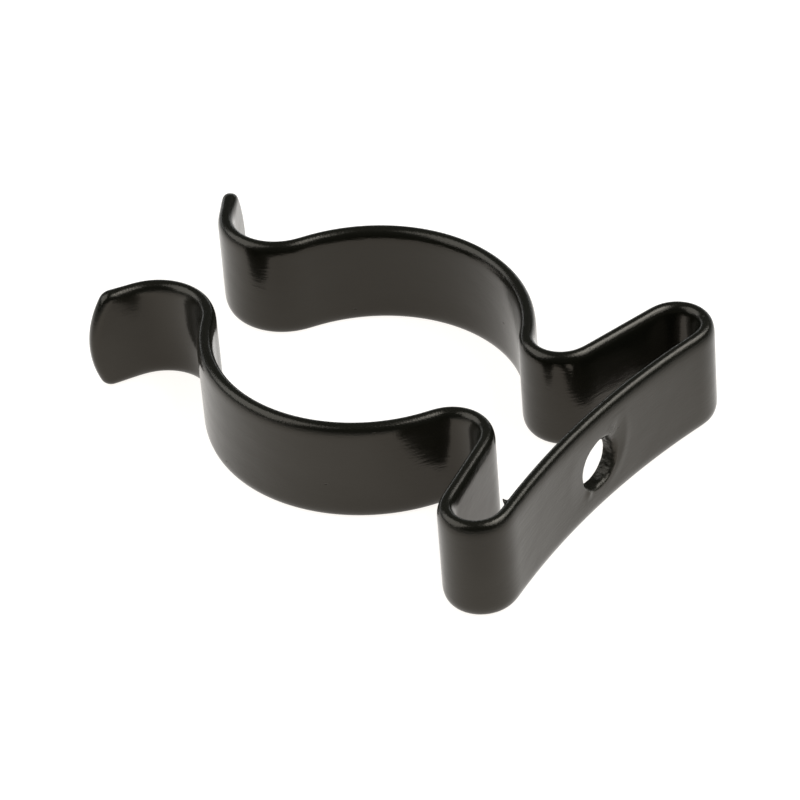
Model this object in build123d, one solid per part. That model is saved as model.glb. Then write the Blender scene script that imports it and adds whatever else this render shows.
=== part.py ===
from build123d import *
import os
from math import asin, cos, degrees, radians, sin

# A spring clip for a pipe, folded from one strip of coated spring steel. Millimetres and degrees.
# The axis of the pipe is the Z axis, the foot lies towards -Y and the mouth towards +Y.
# The plane Z = 0 is the middle of the strip's width. The clip is the same left and right.

# The strip
strip_width = 10.0
strip_thickness = 1.5  # steel and coating
edge_flat = 0.1  # what the two rounded corners of an edge leave between them

# The jaw, a round arc that grips the pipe
pipe_diameter = 28.0
grip_squeeze = 0.9  # the free jaw is this much smaller than the pipe
jaw_start_angle = 28.3  # where the arc begins, measured at the axis from -Y
jaw_end_angle = 28.5  # where it ends, measured at the axis from +Y

# The foot, which is screwed to the wall, and the two legs that fold back over it
foot_length = 36.4  # over both folds
foot_bow = 1.36  # how far the middle of the foot stands off the wall
fold_inner_radius = 1.95
leg_rise = 13.5  # angle of each leg to the wall
knee_inner_radius = 2.45  # where each leg turns up into the jaw

# The lips, which spread the jaw when the pipe is pushed in
lip_inner_radius = 4.2
lip_turn = 122.0
tip_length = 4.6  # the straight end of each lip
end_arc_radius = 9.8
end_arc_shift = 0.75  # the rounded ends were cropped this far off the middle of the strip
end_corner_radius = 1.2

# The screw hole in the foot, with the rolled rim and the shallow dish that the punch left round it
screw_hole_diameter = 4.8
hole_drop = 0.3  # the hole was pierced this far below the middle of the strip
dish_ring = 1.1  # how far the dish reaches beyond the hole
dish_depth = 0.17
wall_rim_radius = 0.45
jaw_rim_radius = 0.15

same_size = 0.001  # two radii closer than this are one

# Radii at the middle of the strip's thickness
half_thickness = strip_thickness / 2
jaw_radius = (pipe_diameter - grip_squeeze) / 2 + half_thickness
fold_radius = fold_inner_radius + half_thickness
knee_radius = knee_inner_radius + half_thickness
lip_radius = lip_inner_radius + half_thickness
edge_radius = (strip_thickness - edge_flat) / 2

# The knee touches the jaw's arc from outside, and the leg is a tangent of the knee and the fold
leg_heading = 180 - leg_rise
leg_direction = Vector(cos(radians(leg_heading)), sin(radians(leg_heading)))
leg_normal = leg_direction.rotate(Axis.Z, 90)
knee_direction = Vector(sin(radians(jaw_start_angle)), -cos(radians(jaw_start_angle)))
knee_centre = knee_direction * (jaw_radius + knee_radius)
fold_centre_x = foot_length / 2 - half_thickness - fold_radius
fold_from_knee = knee_centre + leg_normal * (knee_radius + fold_radius)
leg_length = (fold_from_knee.X - fold_centre_x) / leg_direction.X
fold_centre = fold_from_knee - leg_direction * leg_length

# The foot is one shallow arc that touches both folds from outside
foot_middle_y = fold_centre.Y - fold_radius + foot_bow
foot_rise = fold_radius - foot_bow
foot_radius = (fold_centre.X**2 + foot_rise**2 - fold_radius**2) / (2 * foot_bow)
foot_half_angle = degrees(asin(fold_centre.X / (foot_radius + fold_radius)))

tip_heading = 180 - jaw_end_angle - lip_turn


# One face of the right half of the strip, at an offset to the left of its middle line. It runs from
# the middle of the foot to the start of the tip, and each bend turns on from the one before.
def strip_face(offset):
    foot = JernArc((0, foot_middle_y + offset), (1, 0), foot_radius + offset, -foot_half_angle)
    fold = JernArc(foot @ 1, foot % 1, fold_radius - offset, leg_heading + foot_half_angle)
    leg = Line(fold @ 1, fold @ 1 + leg_direction * leg_length)
    knee = JernArc(leg @ 1, leg % 1, knee_radius + offset, jaw_start_angle - leg_heading)
    jaw_sweep = 180 - jaw_start_angle - jaw_end_angle
    jaw = JernArc(knee @ 1, knee % 1, jaw_radius - offset, jaw_sweep)
    lip = JernArc(jaw @ 1, jaw % 1, lip_radius + offset, -lip_turn)
    return [foot, fold, leg, knee, jaw, lip]


# The folded strip up to its tips, with square edges
def folded_strip():
    left_face = strip_face(half_thickness)
    right_face = strip_face(-half_thickness)
    middle = Line(right_face[0] @ 0, left_face[0] @ 0)
    end = Line(right_face[-1] @ 1, left_face[-1] @ 1)
    half = make_face([middle, end] + left_face + right_face)
    section = half + mirror(half, about=Plane.YZ)
    return extrude(section, strip_width / 2, both=True)


# The straight end of the right lip, with its rounded outline
def lip_tip():
    heading = Vector(cos(radians(tip_heading)), sin(radians(tip_heading)))
    start = strip_face(0)[-1] @ 1
    plane = Plane(start, x_dir=heading, z_dir=heading.rotate(Axis.Z, -90))
    outline = Pos(tip_length / 2, 0) * Rectangle(tip_length, strip_width)
    end_centre = Pos(tip_length - end_arc_radius, -end_arc_shift)
    outline &= end_centre * Rot(0, 0, 180) * Circle(end_arc_radius)
    corners = outline.vertices().sort_by(Axis.X)[-2:]
    outline = fillet(corners, end_corner_radius)
    return extrude(plane * outline, half_thickness, both=True), plane.z_dir


# The strip with both tips, rounded along all its edges and round its ends
def rounded_strip():
    tip, tip_normal = lip_tip()
    strip = folded_strip() + tip + mirror(tip, about=Plane.YZ)
    edges = strip.edges().filter_by(Axis.Z, reverse=True)
    for side in (1, -1):
        across_tip = Axis((0, 0, 0), (side * tip_normal.X, tip_normal.Y, 0))
        edges = edges.filter_by(across_tip, reverse=True)
    return fillet(edges, edge_radius)


# The dish in the wall face of the foot, and the hole through it, with rounded rims
def pierced(strip):
    hole_radius = screw_hole_diameter / 2
    dish_half_width = hole_radius + dish_ring
    dish_radius = (dish_half_width**2 + dish_depth**2) / (2 * dish_depth)
    dish_floor_y = foot_middle_y - half_thickness + dish_depth
    dish = Pos(0, dish_floor_y - dish_radius, -hole_drop) * Sphere(dish_radius)
    punch = Rot(90, 0, 0) * Cylinder(hole_radius, 2 * strip_thickness)
    punch = Pos(0, foot_middle_y, -hole_drop) * punch
    clip = strip - dish - punch
    for rim_radius, which in ((wall_rim_radius, 0), (jaw_rim_radius, -1)):
        round_faces = clip.faces().filter_by(GeomType.CYLINDER)
        hole_wall = round_faces.filter_by(lambda face: abs(face.radius - hole_radius) < same_size)
        rims = hole_wall.edges().filter_by(GeomType.LINE, reverse=True).sort_by(Axis.Y)
        clip = fillet(rims[which], rim_radius)
    return clip


clip = pierced(rounded_strip())
os.makedirs("parts", exist_ok=True)
export_step(clip, "parts/spring_clip.step")
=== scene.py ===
import bmesh
import bpy
import numpy as np
from math import asin, atan2, cos, exp, hypot, pi, radians, sin, sqrt
from mathutils import Euler, Matrix, Vector, noise


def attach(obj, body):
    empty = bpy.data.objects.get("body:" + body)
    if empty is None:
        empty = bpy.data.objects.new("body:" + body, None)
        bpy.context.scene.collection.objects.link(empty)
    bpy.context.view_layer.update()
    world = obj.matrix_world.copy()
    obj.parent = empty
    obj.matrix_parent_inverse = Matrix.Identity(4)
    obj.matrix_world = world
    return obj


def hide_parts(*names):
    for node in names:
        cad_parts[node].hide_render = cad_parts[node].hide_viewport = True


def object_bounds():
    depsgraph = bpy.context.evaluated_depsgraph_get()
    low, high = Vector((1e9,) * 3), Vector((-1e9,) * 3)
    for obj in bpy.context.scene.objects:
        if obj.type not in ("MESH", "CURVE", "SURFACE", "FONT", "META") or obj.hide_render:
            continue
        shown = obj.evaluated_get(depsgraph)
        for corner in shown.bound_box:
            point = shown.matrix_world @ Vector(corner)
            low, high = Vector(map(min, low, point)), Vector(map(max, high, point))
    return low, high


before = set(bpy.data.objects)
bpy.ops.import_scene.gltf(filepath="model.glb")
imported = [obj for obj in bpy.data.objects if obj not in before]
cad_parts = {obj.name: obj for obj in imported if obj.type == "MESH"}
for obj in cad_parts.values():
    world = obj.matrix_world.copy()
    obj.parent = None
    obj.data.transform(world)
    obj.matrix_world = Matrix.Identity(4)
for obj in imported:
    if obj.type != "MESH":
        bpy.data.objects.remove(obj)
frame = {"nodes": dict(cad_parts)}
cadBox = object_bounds()
scene = bpy.context.scene
scene.view_settings.view_transform = "Standard"  # keeps the white ground white
mm = 0.001
print("frame loaded:", ", ".join(frame["nodes"]))


# The strip, in millimetres. A point of it has a place u along the strip from the middle of the foot,
# a place v across it and a place w through it, towards the jaw.
strip = {
    "halfWidth": 5.0,
    "halfThickness": 0.75,
    "edgeReach": 1.45,  # the edges are rolled from this far in
    "endReach": 0.95,  # and less at the rounded ends
    "edgeFullness": 2.45,  # 2 is an ellipse, more is squarer
    "edgeSteps": 26,
    "faceSteps": 12,
    "columnStep": 0.3,
}
# The folded form, in millimetres at the middle of the strip's thickness and in degrees
form = {
    "jawRadius": 14.3,
    "jawStart": 28.3,  # where the jaw begins, measured at its axis from the foot
    "jawEnd": 28.5,  # where it ends, measured at its axis from the mouth
    "footHalfLength": 17.45,
    "footBow": 1.36,  # how far the middle of the foot stands off the wall
    "foldRadius": 2.7,
    "legRise": 13.5,
    "kneeRadius": 3.2,
    "lipRadius": 4.95,
    "lipTurn": 122.0,
    "tip": 4.6,  # the straight end of each lip
    "ease": 1.6,  # one bend eases into the next over this length
    "lineStep": 0.02,
}


# The place of the foot's middle, and the bends from there to the end of a lip, each a length and a turn.
# The knee touches the jaw from outside, and the leg is a tangent of the knee and the fold.
def formBends():
    foldRadius, kneeRadius, footBow = form["foldRadius"], form["kneeRadius"], form["footBow"]
    start, heading = radians(form["jawStart"]), pi - radians(form["legRise"])
    legX, legY = cos(heading), sin(heading)
    kneeX, kneeY = np.array([sin(start), -cos(start)]) * (form["jawRadius"] + kneeRadius)
    besideX, besideY = np.array([-legY, legX]) * (kneeRadius + foldRadius)
    foldX = form["footHalfLength"] - foldRadius
    leg = (kneeX + besideX - foldX) / legX
    foldY = kneeY + besideY - legY * leg
    footRadius = (foldX**2 + (foldRadius - footBow) ** 2 - foldRadius**2) / (2 * footBow)
    footTurn = asin(foldX / (footRadius + foldRadius))
    foldTurn = heading + footTurn
    kneeTurn = heading - start
    jawTurn = pi - start - radians(form["jawEnd"])
    lipTurn = radians(form["lipTurn"])
    bends = [
        (footRadius * footTurn, -footTurn),
        (foldRadius * foldTurn, foldTurn),
        (leg, 0.0),
        (kneeRadius * kneeTurn, -kneeTurn),
        (form["jawRadius"] * jawTurn, jawTurn),
        (form["lipRadius"] * lipTurn, -lipTurn),
        (form["tip"], 0.0),
    ]
    return foldY - foldRadius + footBow, bends


# The middle line of the strip from one lip to the other, eased where its bends meet
def middleLine():
    footY, bends = formBends()
    places, headings = [0.0], [0.0]
    for length, turn in bends:
        places.append(places[-1] + length)
        headings.append(headings[-1] + turn)
    step = form["lineStep"]
    half = int(form["ease"] / 2 / step)
    count = int(places[-1] / step) + 2 * half
    middles = (np.arange(count) + 0.5) * step
    heading = np.interp(middles, places, headings)
    x = np.concatenate([[0.0], np.cumsum(np.cos(heading)) * step])
    y = np.concatenate([[0.0], np.cumsum(np.sin(heading)) * step]) + footY
    x = np.concatenate([-x[:0:-1], x])
    y = np.concatenate([y[:0:-1], y])
    window = np.ones(2 * half + 1) / (2 * half + 1)
    x = np.convolve(x, window, "valid")
    y = np.convolve(y, window, "valid")
    along = (np.arange(len(x)) - len(x) // 2) * step
    return places[-1], along, x, y


# Each strip point goes to its place on the bent strip, in metres
def bentPoints(points, line):
    along, x, y = line[1:]
    u, v, w = points.T
    slopeX, slopeY = np.gradient(x), np.gradient(y)
    size = np.hypot(slopeX, slopeY)
    bentX = np.interp(u, along, x) - w * np.interp(u, along, slopeY / size)
    bentY = np.interp(u, along, y) + w * np.interp(u, along, slopeX / size)
    return np.stack([bentX, bentY, v], axis=1) * mm


lipEnd = {"arcRadius": 9.8, "arcShift": 0.75, "cornerRadius": 1.2, "cornerSteps": 8, "arcSteps": 12}
hole = {
    "radius": 2.3,
    "drop": 0.2,
    "patch": 5.4,  # the fine mesh round the hole reaches this far along the foot
    "patchStep": 0.2,
    "patchRows": 3,  # fine rows for each row of the face
    "wallRim": 0.38,
    "softRim": 0.7,  # the rim is rolled more towards one side
    "softAngle": 45,
    "jawRim": 0.15,
}
# Coating that stands up: a burr on the upper edge of the foot and a drop below the hole
burrs = {
    "edgeBurr": {"place": (-13.0, 4.55, 0.62), "push": (0.0, 0.32, 0.36), "size": 0.17},
    "holeDrop": {"place": (-1.75, -2.25, -0.75), "push": (0.0, 0.0, -0.09), "size": 0.4},
}
burrColumns = {"count": 15, "reach": 3}  # more columns at the edge's burr, out to so many times its size


# The outline of the blank from the middle of the foot to the end of a lip. Each column of the mesh has
# an upper and a lower spot on it, given by a circle's centre and radius, an angle on the circle and how
# far in the edge is rolled there.
def outlineColumns(length):
    halfWidth = strip["halfWidth"]
    tipStart = length - form["tip"]
    fine = np.arange(0, hole["patch"], hole["patchStep"])
    coarse = np.linspace(hole["patch"], tipStart, int((tipStart - hole["patch"]) / strip["columnStep"]))
    edgeBurr = burrs["edgeBurr"]
    burrReach = edgeBurr["size"] * burrColumns["reach"]
    atBurr = abs(edgeBurr["place"][0]) + np.linspace(-1, 1, burrColumns["count"]) * burrReach
    straight = sorted([*fine, *coarse, *atBurr])
    arcRadius, cornerRadius = lipEnd["arcRadius"], lipEnd["cornerRadius"]
    arcU, arcV = length - arcRadius, -lipEnd["arcShift"]
    chains = []
    for side in (1, -1):
        cornerV = side * (halfWidth - cornerRadius)
        cornerU = arcU + sqrt((arcRadius - cornerRadius) ** 2 - (cornerV - arcV) ** 2)
        meet = atan2(cornerV - arcV, cornerU - arcU)
        spots = [(u, 0.0, halfWidth, side * pi / 2, strip["edgeReach"]) for u in straight]
        chains.append((side, cornerU, cornerV, meet, spots))
    tipSteps = int(form["tip"] / 2 / strip["columnStep"])
    endAngle = (chains[0][3] + chains[1][3]) / 2
    for side, cornerU, cornerV, meet, spots in chains:
        for share in np.linspace(0, 1, tipSteps + 1)[1:]:
            ease = share * share * (3 - 2 * share)  # slow at both ends
            reach = strip["edgeReach"] + (strip["endReach"] - strip["edgeReach"]) * ease
            spots.append((tipStart + (cornerU - tipStart) * share, 0.0, halfWidth, side * pi / 2, reach))
        turns = np.linspace(side * pi / 2, meet, lipEnd["cornerSteps"] + 1)[1:]
        spots += [(cornerU, cornerV, cornerRadius, turn, strip["endReach"]) for turn in turns]
        turns = np.linspace(meet, endAngle, lipEnd["arcSteps"] + 1)[1:]
        spots += [(arcU, arcV, arcRadius, turn, strip["endReach"]) for turn in turns]
    return list(zip(chains[0][4], chains[1][4]))


# The press left a shallow dish round the hole on the wall face. The ring of the press stood off the
# hole's axis, so the dish is steeper on one side, where it ends in a low crest.
dish = {
    "ringCentre": (-1.3, 1.8),
    "ringRadius": 5.3,
    "reach": 4.9,
    "depth": 0.2,
    "steepDepth": 0.45,
    "crest": 0.028,
    "crestWidth": 0.45,
    "crestFoot": 2,  # the crest dies out within this many widths
    "crestAngle": -5,
}
holeRings = {"crest": 5, "dish": 9, "wallRim": 8, "wall": 9, "jawRim": 5, "jawFace": 5}  # points in each
# The punch tore the wall of the hole and the coating gathered on it in lumps
lumps = {"big": (1.3, 0.13), "small": (4.2, 0.045)}  # how many to a millimetre, and their height


def holeLump(place):
    push = 0.0
    for scale, height in lumps.values():
        push += height * noise.noise(place * scale)
    return push


# How much one direction agrees with another, from 0 to 1
def agreement(angle, other):
    return max(0.0, cos(angle - other)) ** 2


# The section of the hole from the wall face to the jaw face at one angle, where the flat face ends at
# a distance from the hole's axis: radii, heights and how torn it is there
def holeSection(angle, border):
    face, radius, jawRim = strip["halfThickness"], hole["radius"], hole["jawRim"]
    soft = agreement(angle, radians(hole["softAngle"]))
    rim = hole["wallRim"] + (hole["softRim"] - hole["wallRim"]) * soft
    steep = agreement(angle, radians(dish["crestAngle"]))
    depth = dish["depth"] + (dish["steepDepth"] - dish["depth"]) * steep
    centreU, centreV = dish["ringCentre"]
    toCentre = centreU * cos(angle) + centreV * sin(angle)
    ringReach = toCentre + sqrt(toCentre**2 + dish["ringRadius"] ** 2 - centreU**2 - centreV**2)
    reach = min(dish["reach"], ringReach, border - hole["patchStep"])

    def wallFace(r):
        sunk = depth * max(0.0, 1 - (r / reach) ** 2) ** 2
        raised = dish["crest"] * steep * exp(-(((r - reach) / dish["crestWidth"]) ** 2))
        return sunk - raised - face

    outer = min(border - hole["patchStep"] / 2, reach + dish["crestFoot"] * dish["crestWidth"])
    radii = [*np.linspace(outer, reach, holeRings["crest"])]
    radii += [*np.linspace(reach, radius + rim, holeRings["dish"])[1:]]
    section = [(r, wallFace(r), 0.0) for r in radii]
    rimCentre = wallFace(radius + rim) + rim
    for turn in np.linspace(0, pi / 2, holeRings["wallRim"])[1:]:
        section.append((radius + rim - rim * sin(turn), rimCentre - rim * cos(turn), turn / pi * 2))
    section += [(radius, w, 1.0) for w in np.linspace(rimCentre, face - jawRim, holeRings["wall"])[1:]]
    for turn in np.linspace(0, pi / 2, holeRings["jawRim"])[1:]:
        r, w = radius + jawRim - jawRim * cos(turn), face - jawRim + jawRim * sin(turn)
        section.append((r, w, 1 - turn / pi * 2))
    section += [(r, face, 0.0) for r in np.linspace(radius + jawRim, outer, holeRings["jawFace"])[1:]]
    return section


def buildStrip():
    points, faces = [], []

    def addPoint(u, v, w):
        points.append((float(u), float(v), float(w)))
        return len(points) - 1

    def addFace(*corners):
        corners = [corner for n, corner in enumerate(corners) if corner != corners[n - 1]]
        if len(corners) > 2:
            faces.append(corners)

    # rows a and b of one face are joined also where one of them is finer
    def bridge(a, b):
        steps = min(len(a), len(b)) - 1
        stepA, stepB = (len(a) - 1) // steps, (len(b) - 1) // steps
        for k in range(steps):
            ahead = a[k * stepA:(k + 1) * stepA + 1]
            back = b[k * stepB:(k + 1) * stepB + 1]
            addFace(*ahead, *reversed(back))

    line = middleLine()
    half = outlineColumns(line[0])
    mirrored = []
    for column in half[:0:-1]:
        mirrored.append([(-u, v, radius, pi - turn, reach) for u, v, radius, turn, reach in column])
    columns = mirrored + half
    middle = len(mirrored)
    patchColumns = len(np.arange(0, hole["patch"], hole["patchStep"]))
    first, last = middle - patchColumns, middle + patchColumns
    turns = np.linspace(-pi / 2, pi / 2, strip["edgeSteps"] + 1)
    power = 2 / strip["edgeFullness"]
    bands, rows = [], []
    for n, column in enumerate(columns):
        atEnd = n in (0, len(columns) - 1)
        pair = []
        for u, v, radius, angle, reach in column[:1] if atEnd else column:
            band = []
            for turn in turns:
                inner = radius - reach * (1 - abs(cos(turn)) ** power)
                w = strip["halfThickness"] * np.sign(turn) * abs(sin(turn)) ** power
                band.append(addPoint(u + inner * cos(angle), v + inner * sin(angle), w))
            pair.append(band)
        upper, lower = pair[0], pair[-1]
        bands.append((upper, lower))
        steps = strip["faceSteps"] * (hole["patchRows"] if n in (first, last) else 1)
        columnRows = []
        for j in (0, -1):
            row = [upper[j]]
            if atEnd:
                row = row * (steps + 1)
            elif not first < n < last:
                start, end = np.array(points[upper[j]]), np.array(points[lower[j]])
                row += [addPoint(*(start + (end - start) * k / steps)) for k in range(1, steps)]
                row.append(lower[j])
            columnRows.append(row)
        rows.append(columnRows)
    for n in range(len(columns) - 1):
        for side in (0, 1):
            bridge(bands[n][side], bands[n + 1][side])
        if not first <= n < last:
            for face in (0, 1):
                bridge(rows[n][face], rows[n + 1][face])

    # the patch round the hole, ring by ring from the wall face through the hole to the jaw face
    borders = []
    for face, j in ((0, 0), (1, -1)):
        border = [bands[n][0][j] for n in range(first, last + 1)]
        border += rows[last][face][1:-1]
        border += [bands[n][1][j] for n in range(last, first - 1, -1)]
        border += rows[first][face][-2:0:-1]
        borders.append(border)
    spokes = []
    for corner in borders[0]:
        u, v = points[corner][0], points[corner][1] + hole["drop"]
        border = hypot(u, v)
        spoke = []
        for radius, w, torn in holeSection(atan2(v, u), border):
            radius += torn * holeLump(Vector((u * radius / border, v * radius / border, w)))
            spoke.append(addPoint(u * radius / border, v * radius / border - hole["drop"], w))
        spokes.append(spoke)
    rings = [borders[0], *map(list, zip(*spokes)), borders[1]]
    for a, b in zip(rings, rings[1:]):
        bridge(a + a[:1], b + b[:1])
    points = np.array(points)
    for burr in burrs.values():
        away = np.linalg.norm(points - np.array(burr["place"]), axis=1) / burr["size"]
        points += np.exp(-(away**2))[:, None] * np.array(burr["push"])
    points[:, 1] = np.clip(points[:, 1], -strip["halfWidth"], strip["halfWidth"])
    return bentPoints(points, line), faces


def makeClip(material):
    points, faces = buildStrip()
    mesh = bpy.data.meshes.new("springClip")
    mesh.from_pydata(points.tolist(), [], faces)
    shape = bmesh.new()
    shape.from_mesh(mesh)
    bmesh.ops.recalc_face_normals(shape, faces=shape.faces)
    loose = [edge for edge in shape.edges if not edge.is_manifold]
    shape.to_mesh(mesh)
    shape.free()
    mesh.shade_smooth()
    mesh.materials.append(material)
    clip = bpy.data.objects.new("springClip", mesh)
    scene.collection.objects.link(clip)
    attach(clip, "root")
    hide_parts("spring_clip")
    print("clip bent:", len(mesh.polygons), "faces,", len(loose), "open edges")


# Nodes are added by type, with their properties and plain input values in one call
def addNode(tree, kind, inputs=None, **props):
    node = tree.nodes.new(kind)
    for name, value in props.items():
        setattr(node, name, value)
    for name, value in (inputs or {}).items():
        node.inputs[name].default_value = value
    return node


def mixColors(tree, factor, first, second):
    node = addNode(tree, "ShaderNodeMix", data_type="RGBA")
    sockets = {socket.identifier: socket for socket in [*node.inputs, *node.outputs]}
    tree.links.new(factor, sockets["Factor_Float"])
    sockets["A_Color"].default_value = first
    sockets["B_Color"].default_value = second
    return sockets["Result_Color"]


def newMaterial(name):
    material = bpy.data.materials.new(name)
    material.use_nodes = True
    tree = material.node_tree
    tree.nodes.clear()
    output = addNode(tree, "ShaderNodeOutputMaterial")
    shader = addNode(tree, "ShaderNodeBsdfPrincipled")
    tree.links.new(shader.outputs["BSDF"], output.inputs["Surface"])
    return material, tree, shader


# The black coating, in metres. Its marks run along the strip, so their patterns are squeezed across it,
# along Z.
coating = {
    "darkColor": (0.0038, 0.0039, 0.0026, 1.0),
    "paleColor": (0.0064, 0.0064, 0.0043, 1.0),
    "glossTint": (1.0, 0.90, 0.78, 1.0),  # the gloss is warm when seen straight on
    "glossIndex": 1.46,
    "roughness": (0.12, 0.19),
    "cloudScale": 260.0,
    "cloudDetail": 4.0,
}
waves = {"scale": (260.0, 260.0, 420.0), "detail": 1.0, "height": 0.00004}
grain = {"scale": (900.0, 900.0, 5500.0), "detail": 2.0, "height": 0.00001}
peel = {"scale": (6500.0, 6500.0, 6500.0), "detail": 2.0, "height": 0.000018, "onFaces": 0.25}
nicks = {
    "scale": (420.0, 420.0, 1300.0),
    "radius": 0.1,  # of a cell
    "share": 0.2,  # of the cells
    "depth": 0.00002,
    "roughness": 0.45,
}
edgeBand = {"inner": 0.0038, "outer": 0.0046, "roughness": 0.23}  # the rolled edges are rougher
roughSpot = {"place": (0.0019, -0.0251, 0.0024), "outside": 0.0009, "inside": 0.0003}  # on the hole's rim
tornWall = {
    "axis": (0.0, 0.0, -hole["drop"] * mm),
    "across": (1.0, 0.0, 1.0),  # the hole runs along Y
    "outside": (hole["radius"] + hole["wallRim"]) * mm,
    "inside": (hole["radius"] + hole["wallRim"] / 3) * mm,
    "scale": (5200.0, 5200.0, 5200.0),
    "detail": 3.0,
    "height": 0.00004,
    "roughness": 0.36,
}


def makeCoating():
    material, tree, shader = newMaterial("blackCoating")
    link = tree.links.new
    shader.inputs["Specular Tint"].default_value = coating["glossTint"]
    shader.inputs["IOR"].default_value = coating["glossIndex"]
    place = addNode(tree, "ShaderNodeTexCoord").outputs["Object"]

    def scaled(pattern):
        mapping = addNode(tree, "ShaderNodeMapping", {"Scale": pattern["scale"]})
        link(place, mapping.inputs["Vector"])
        return mapping.outputs["Vector"]

    def noiseOf(pattern):
        texture = addNode(tree, "ShaderNodeTexNoise", {"Scale": 1.0, "Detail": pattern["detail"]})
        link(scaled(pattern), texture.inputs["Vector"])
        return texture.outputs["Fac"]

    def combined(operation, *values):
        node = addNode(tree, "ShaderNodeMath", operation=operation)
        for socket, value in zip(node.inputs, values):
            if isinstance(value, float):
                socket.default_value = value
            else:
                link(value, socket)
        return node.outputs["Value"]

    def between(value, low, high, first, second):
        ranges = {"From Min": low, "From Max": high, "To Min": first, "To Max": second}
        node = addNode(tree, "ShaderNodeMapRange", ranges)
        link(value, node.inputs["Value"])
        return node.outputs["Result"]

    def bumpOf(height, distance, normal=None):
        node = addNode(tree, "ShaderNodeBump", {"Distance": distance})
        link(height, node.inputs["Height"])
        if normal:
            link(normal, node.inputs["Normal"])
        return node.outputs["Normal"]

    # the wall of the hole, told by its distance from the hole's own axis, and a rough spot on its rim
    fromAxis = addNode(tree, "ShaderNodeVectorMath", operation="SUBTRACT")
    link(place, fromAxis.inputs[0])
    fromAxis.inputs[1].default_value = tornWall["axis"]
    flat = addNode(tree, "ShaderNodeVectorMath", operation="MULTIPLY")
    link(fromAxis.outputs["Vector"], flat.inputs[0])
    flat.inputs[1].default_value = tornWall["across"]
    distance = addNode(tree, "ShaderNodeVectorMath", operation="LENGTH")
    link(flat.outputs["Vector"], distance.inputs[0])
    torn = between(distance.outputs["Value"], tornWall["outside"], tornWall["inside"], 0.0, 1.0)
    fromSpot = addNode(tree, "ShaderNodeVectorMath", operation="DISTANCE")
    link(place, fromSpot.inputs[0])
    fromSpot.inputs[1].default_value = roughSpot["place"]
    spotted = between(fromSpot.outputs["Value"], roughSpot["outside"], roughSpot["inside"], 0.0, 1.0)
    torn = combined("MAXIMUM", torn, spotted)

    # the rolled edges, told by their distance from the middle of the strip's width
    height = addNode(tree, "ShaderNodeSeparateXYZ")
    link(place, height.inputs["Vector"])
    fromMiddle = combined("ABSOLUTE", height.outputs["Z"])
    rolled = between(fromMiddle, edgeBand["inner"], edgeBand["outer"], 0.0, 1.0)

    # a few short nicks, the middles of some of the cells of a pattern
    cells = addNode(tree, "ShaderNodeTexVoronoi", {"Scale": 1.0})
    link(scaled(nicks), cells.inputs["Vector"])
    near = between(cells.outputs["Distance"], nicks["radius"], nicks["radius"] / 2, 0.0, 1.0)
    parts = addNode(tree, "ShaderNodeSeparateColor")
    link(cells.outputs["Color"], parts.inputs["Color"])
    nicked = combined("MULTIPLY", near, combined("LESS_THAN", parts.outputs["Red"], nicks["share"]))

    cloudy = {"Scale": coating["cloudScale"], "Detail": coating["cloudDetail"]}
    clouds = addNode(tree, "ShaderNodeTexNoise", cloudy)
    link(place, clouds.inputs["Vector"])
    tone = mixColors(tree, clouds.outputs["Fac"], coating["darkColor"], coating["paleColor"])
    link(tone, shader.inputs["Base Color"])

    low, high = coating["roughness"]
    gloss = between(clouds.outputs["Fac"], 0.0, 1.0, low, high)
    gloss = combined("MAXIMUM", gloss, combined("MULTIPLY", torn, tornWall["roughness"]))
    gloss = combined("MAXIMUM", gloss, combined("MULTIPLY", nicked, nicks["roughness"]))
    gloss = combined("MAXIMUM", gloss, combined("MULTIPLY", rolled, edgeBand["roughness"]))
    link(gloss, shader.inputs["Roughness"])

    normal = bumpOf(noiseOf(waves), waves["height"])
    normal = bumpOf(noiseOf(grain), grain["height"], normal)
    peeled = combined("MULTIPLY", noiseOf(peel), between(rolled, 0.0, 1.0, peel["onFaces"], 1.0))
    normal = bumpOf(peeled, peel["height"], normal)
    normal = bumpOf(combined("MULTIPLY", torn, noiseOf(tornWall)), tornWall["height"], normal)
    normal = bumpOf(combined("SUBTRACT", 1.0, nicked), nicks["depth"], normal)
    link(normal, shader.inputs["Normal"])
    print("coating mixed:", len(tree.nodes), "nodes")
    return material


makeClip(makeCoating())


# A pale floor under the clip, a sheet that glows with painted light and so leaves hardly any shadow. The
# camera sees it evenly bright.
# What the clip mirrors of it is a painted pool of light round the clip, with painted shade in its middle
# under the clip, fading further off.
floorLook = {
    "size": 3.0,
    "color": (0.24, 0.24, 0.24, 1.0),
    "glow": (0.965, 0.93, 0.89, 1.0),
    "lowGlow": (0.1, 0.1, 0.1, 1.0),
    "glowStrength": 1.0,
    "poolSize": (0.073, 0.101),  # about twice the clip's size, out from the jaw's axis
    "paintedPool": ((0.1, 0.8), (0.28, 1.0), (0.38, 1.0), (0.85, 0.0)),  # how far out, and how bright its painted light; the dimmer middle is painted shade under the clip
    "roughness": 0.9,
}


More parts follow.
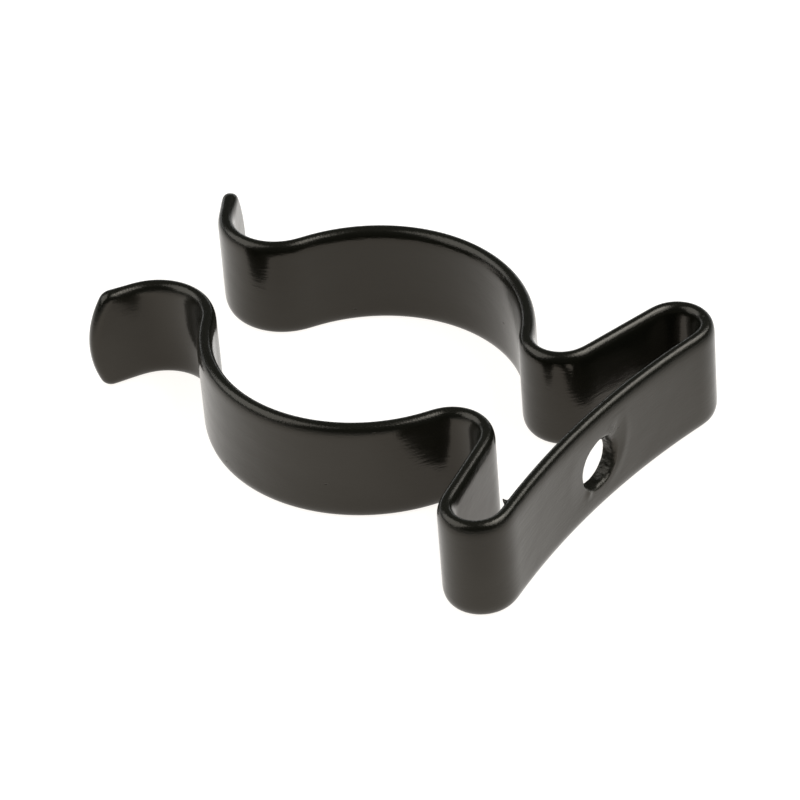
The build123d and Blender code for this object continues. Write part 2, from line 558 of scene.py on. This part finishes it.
def makeFloor():
    material, tree, shader = newMaterial("paleFloor")
    link = tree.links.new
    shader.inputs["Roughness"].default_value = floorLook["roughness"]
    shader.inputs["Base Color"].default_value = floorLook["color"]
    sizeX, sizeY = floorLook["poolSize"]
    fromClip = addNode(tree, "ShaderNodeMapping", {"Scale": (1 / sizeX, 1 / sizeY, 0.0)})
    link(addNode(tree, "ShaderNodeTexCoord").outputs["Object"], fromClip.inputs["Vector"])
    distance = addNode(tree, "ShaderNodeVectorMath", operation="LENGTH")
    link(fromClip.outputs["Vector"], distance.inputs[0])
    # the painted pool of light that the clip mirrors, dimmer in its middle as painted shade under the clip
    paintedPool = addNode(tree, "ShaderNodeValToRGB")
    link(distance.outputs["Value"], paintedPool.inputs["Fac"])
    steps = paintedPool.color_ramp.elements
    for place, light in floorLook["paintedPool"]:
        step = steps.new(place)
        step.color = (light, light, light, 1.0)
    steps.remove(steps[0])
    steps.remove(steps[-1])
    # camera rays see the full glow everywhere; only what the clip mirrors sees the painted pool
    seen = addNode(tree, "ShaderNodeMath", operation="MAXIMUM")
    link(paintedPool.outputs["Color"], seen.inputs[0])
    link(addNode(tree, "ShaderNodeLightPath").outputs["Is Camera Ray"], seen.inputs[1])
    glow = mixColors(tree, seen.outputs["Value"], floorLook["lowGlow"], floorLook["glow"])
    link(glow, shader.inputs["Emission Color"])
    shader.inputs["Emission Strength"].default_value = floorLook["glowStrength"]
    half = floorLook["size"] / 2
    mesh = bpy.data.meshes.new("floor")
    corners = [(-half, -half, 0), (half, -half, 0), (half, half, 0), (-half, half, 0)]
    mesh.from_pydata(corners, [], [(0, 1, 2, 3)])
    mesh.materials.append(material)
    floor = bpy.data.objects.new("floor", mesh)
    floor.location.z = cadBox[0][2]
    scene.collection.objects.link(floor)


makeFloor()
print("floor laid")


# Soft studio light: a box with a bright core to the camera's right, a box to its left, and behind the
# clip a low pale sheet and a faint wall, in dim surroundings
softBoxes = {
    "rightBox": {"azimuth": -55, "elevation": 52, "distance": 0.9, "size": (1.15, 0.72), "radiance": 3.2},
    "rightCore": {"azimuth": -46, "elevation": 60, "distance": 0.9, "size": (0.55, 0.45), "radiance": 3.4},
    "leftBox": {"azimuth": 132, "elevation": 38, "distance": 0.9, "size": (1.1, 0.95), "radiance": 2.2},
    "backSheet": {"azimuth": 50, "elevation": 5, "distance": 1.2, "size": (2.4, 0.2), "radiance": 1.6},
    "backWall": {"azimuth": 42, "elevation": 42, "distance": 1.3, "size": (1.7, 1.2), "radiance": 0.05},
}
surround = (0.035, 0.035, 0.035, 1.0)
lightColor = (0.94, 0.985, 1.0)


def makeLights():
    for name, box in softBoxes.items():
        data = bpy.data.lights.new(name, "AREA")
        data.shape = "RECTANGLE"
        data.size, data.size_y = box["size"]
        data.color = lightColor
        data.energy = box["radiance"] * pi * data.size * data.size_y  # watts, from the box's area
        light = bpy.data.objects.new(name, data)
        azimuth, elevation = radians(box["azimuth"]), radians(box["elevation"])
        toward = Vector((cos(elevation) * cos(azimuth), cos(elevation) * sin(azimuth), sin(elevation)))
        light.location = toward * box["distance"]
        light.rotation_euler = (-toward).to_track_quat("-Z", "Y").to_euler()
        scene.collection.objects.link(light)
    world = bpy.data.worlds.new("studio")
    world.use_nodes = True
    world.node_tree.nodes["Background"].inputs["Color"].default_value = surround
    scene.world = world


makeLights()
print("lights set:", ", ".join(softBoxes))


# The camera stands where the photograph was taken from
view = {
    "location": (-0.270441, -0.230189, 0.275145),
    "rotation": (51.7396, 3.7625, -52.9583),  # degrees
    "lens": 227.62,
    "sensor": 36.0,
    "near": 0.01,
}


def makeCamera():
    data = bpy.data.cameras.new("camera")
    data.lens = view["lens"]
    data.sensor_width = view["sensor"]
    data.clip_start = view["near"]
    camera = bpy.data.objects.new("camera", data)
    turned = Euler([radians(angle) for angle in view["rotation"]])
    camera.matrix_world = Matrix.LocRotScale(Vector(view["location"]), turned, None)
    scene.collection.objects.link(camera)
    scene.camera = camera


makeCamera()
print("camera set")
